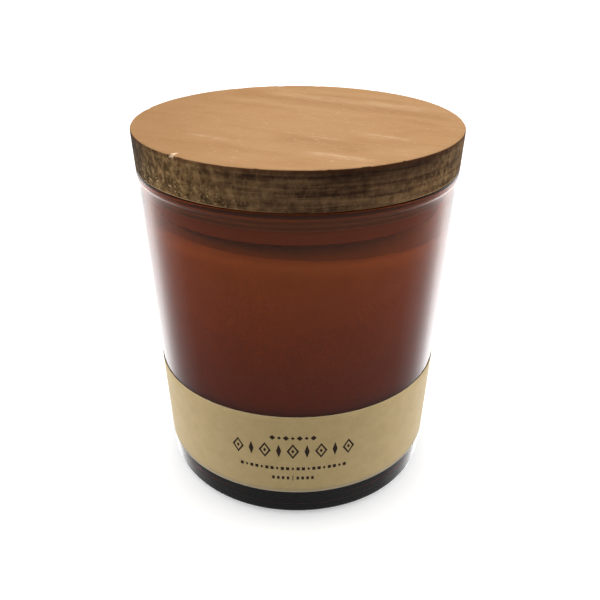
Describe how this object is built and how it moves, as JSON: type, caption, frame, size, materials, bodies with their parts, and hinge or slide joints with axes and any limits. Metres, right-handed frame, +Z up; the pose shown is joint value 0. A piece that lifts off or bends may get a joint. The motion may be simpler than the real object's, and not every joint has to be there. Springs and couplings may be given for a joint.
{
  "type": "lidded candle jar",
  "caption": "Container candle: tapered amber glass tumbler with beaded rim and paper band label, wax and wick inside, and a turned wooden lid with a sealed plug.",
  "frame": {"origin": "centre of the foot, on the surface that the jar stands on", "axes": "+Z up along the jar's axis, towards the lid; -Y is the printed front of the label, +Y its overlapped seam; the wax is a little higher on the -X side"},
  "size_m": [0.089, 0.089, 0.1036],
  "materials": {
    "amber_glass": "clear amber-brown glass, fire polished",
    "kraft_paper": "uncoated kraft paper",
    "acacia_wood": "oiled, sanded top, darker sealed edge",
    "silicone": "translucent silicone, satin",
    "soy_wax": "opaque cream soy wax, satin",
    "cotton": "braided waxed cotton",
    "tinned_steel": "stamped, tin plated",
    "adhesive_foam": "white double-sided foam",
    "white_paper": "blank matte sticker paper",
    "brown_ink": "matte dark brown print on the kraft label"
  },
  "bodies": {
    "jar": {"glass_jar": "amber_glass", "paper_label": "kraft_paper", "wax_fill": "soy_wax", "wick": "cotton", "wick_tab": "tinned_steel", "wick_tab_sticker": "adhesive_foam", "base_sticker": "white_paper"},
    "lid": {"wooden_lid": "acacia_wood", "lid_seal": "silicone"}
  },
  "joints": [
    {"name": "lid_lift", "type": "slide", "parent": "jar", "child": "lid", "axis": [0, 0, 1], "range_m": [0, 0.025]}
  ]
}
